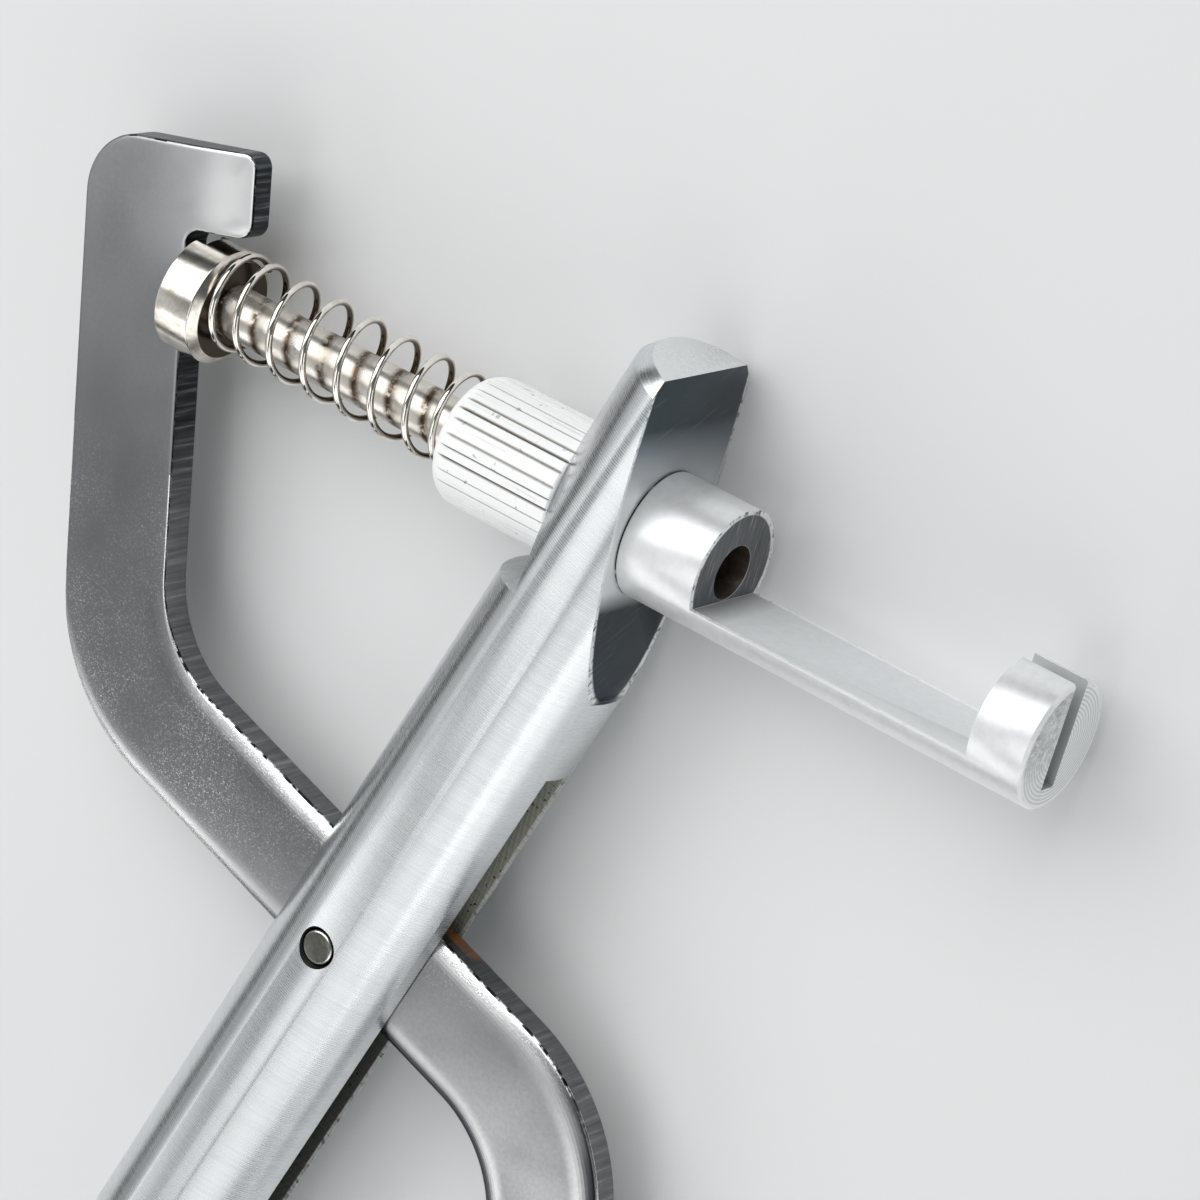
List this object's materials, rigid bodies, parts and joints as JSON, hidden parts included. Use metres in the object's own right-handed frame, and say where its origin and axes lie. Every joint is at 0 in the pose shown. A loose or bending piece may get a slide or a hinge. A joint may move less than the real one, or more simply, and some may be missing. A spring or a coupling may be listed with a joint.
{
  "type": "spring bar pliers",
  "caption": "Watch bracelet pin-pusher pliers: a round handle bar, an S-shaped lever on a pivot, and a sprung plunger that drives a push pin into a half-round link cradle with an end stop.",
  "frame": {"origin": "middle of the cradle's flat trough floor, in the lever's middle plane", "axes": "+X along the pusher axis from the plunger towards the end stop, +Y square to it out of the trough, +Z along the pivot pin, through the lever's thickness"},
  "size_m": [0.0938, 0.1429, 0.013],
  "materials": {
    "turned_aluminium": "turned along its length, with fine rings, and milled flats",
    "bright_aluminium": "bright turned",
    "tumbled_steel": "grey satin plate, tumbled",
    "bare_steel": "ground",
    "nickel_plate": "warm nickel plate",
    "nickel_wire": "nickel-plated spring wire"
  },
  "bodies": {
    "frame": {"handle_bar": "turned_aluminium", "pivot_pin": "bare_steel", "knurled_sleeve": "bright_aluminium", "cradle": "bright_aluminium", "return_spring": "nickel_wire"},
    "lever": {"lever": "tumbled_steel"},
    "plunger": {"plunger_head": "nickel_plate", "plunger_rod": "nickel_plate", "push_pin": "bare_steel"}
  },
  "joints": [
    {"name": "lever_pivot", "type": "hinge", "parent": "frame", "child": "lever", "pos_m": [-0.03373, -0.0387, 0], "axis": [0, 0, -1], "range_deg": [0, 18]},
    {"name": "plunger_slide", "type": "slide", "parent": "frame", "child": "plunger", "axis": [1, 0, 0], "range_m": [0, 0.0135], "stiffness_N_per_m": 110, "springref_m": -0.003, "deforming": ["return_spring"]}
  ],
  "couplings": [
    {"joint": "plunger_slide", "follows": "lever_pivot", "m_per_rad": 0.0424}
  ]
}
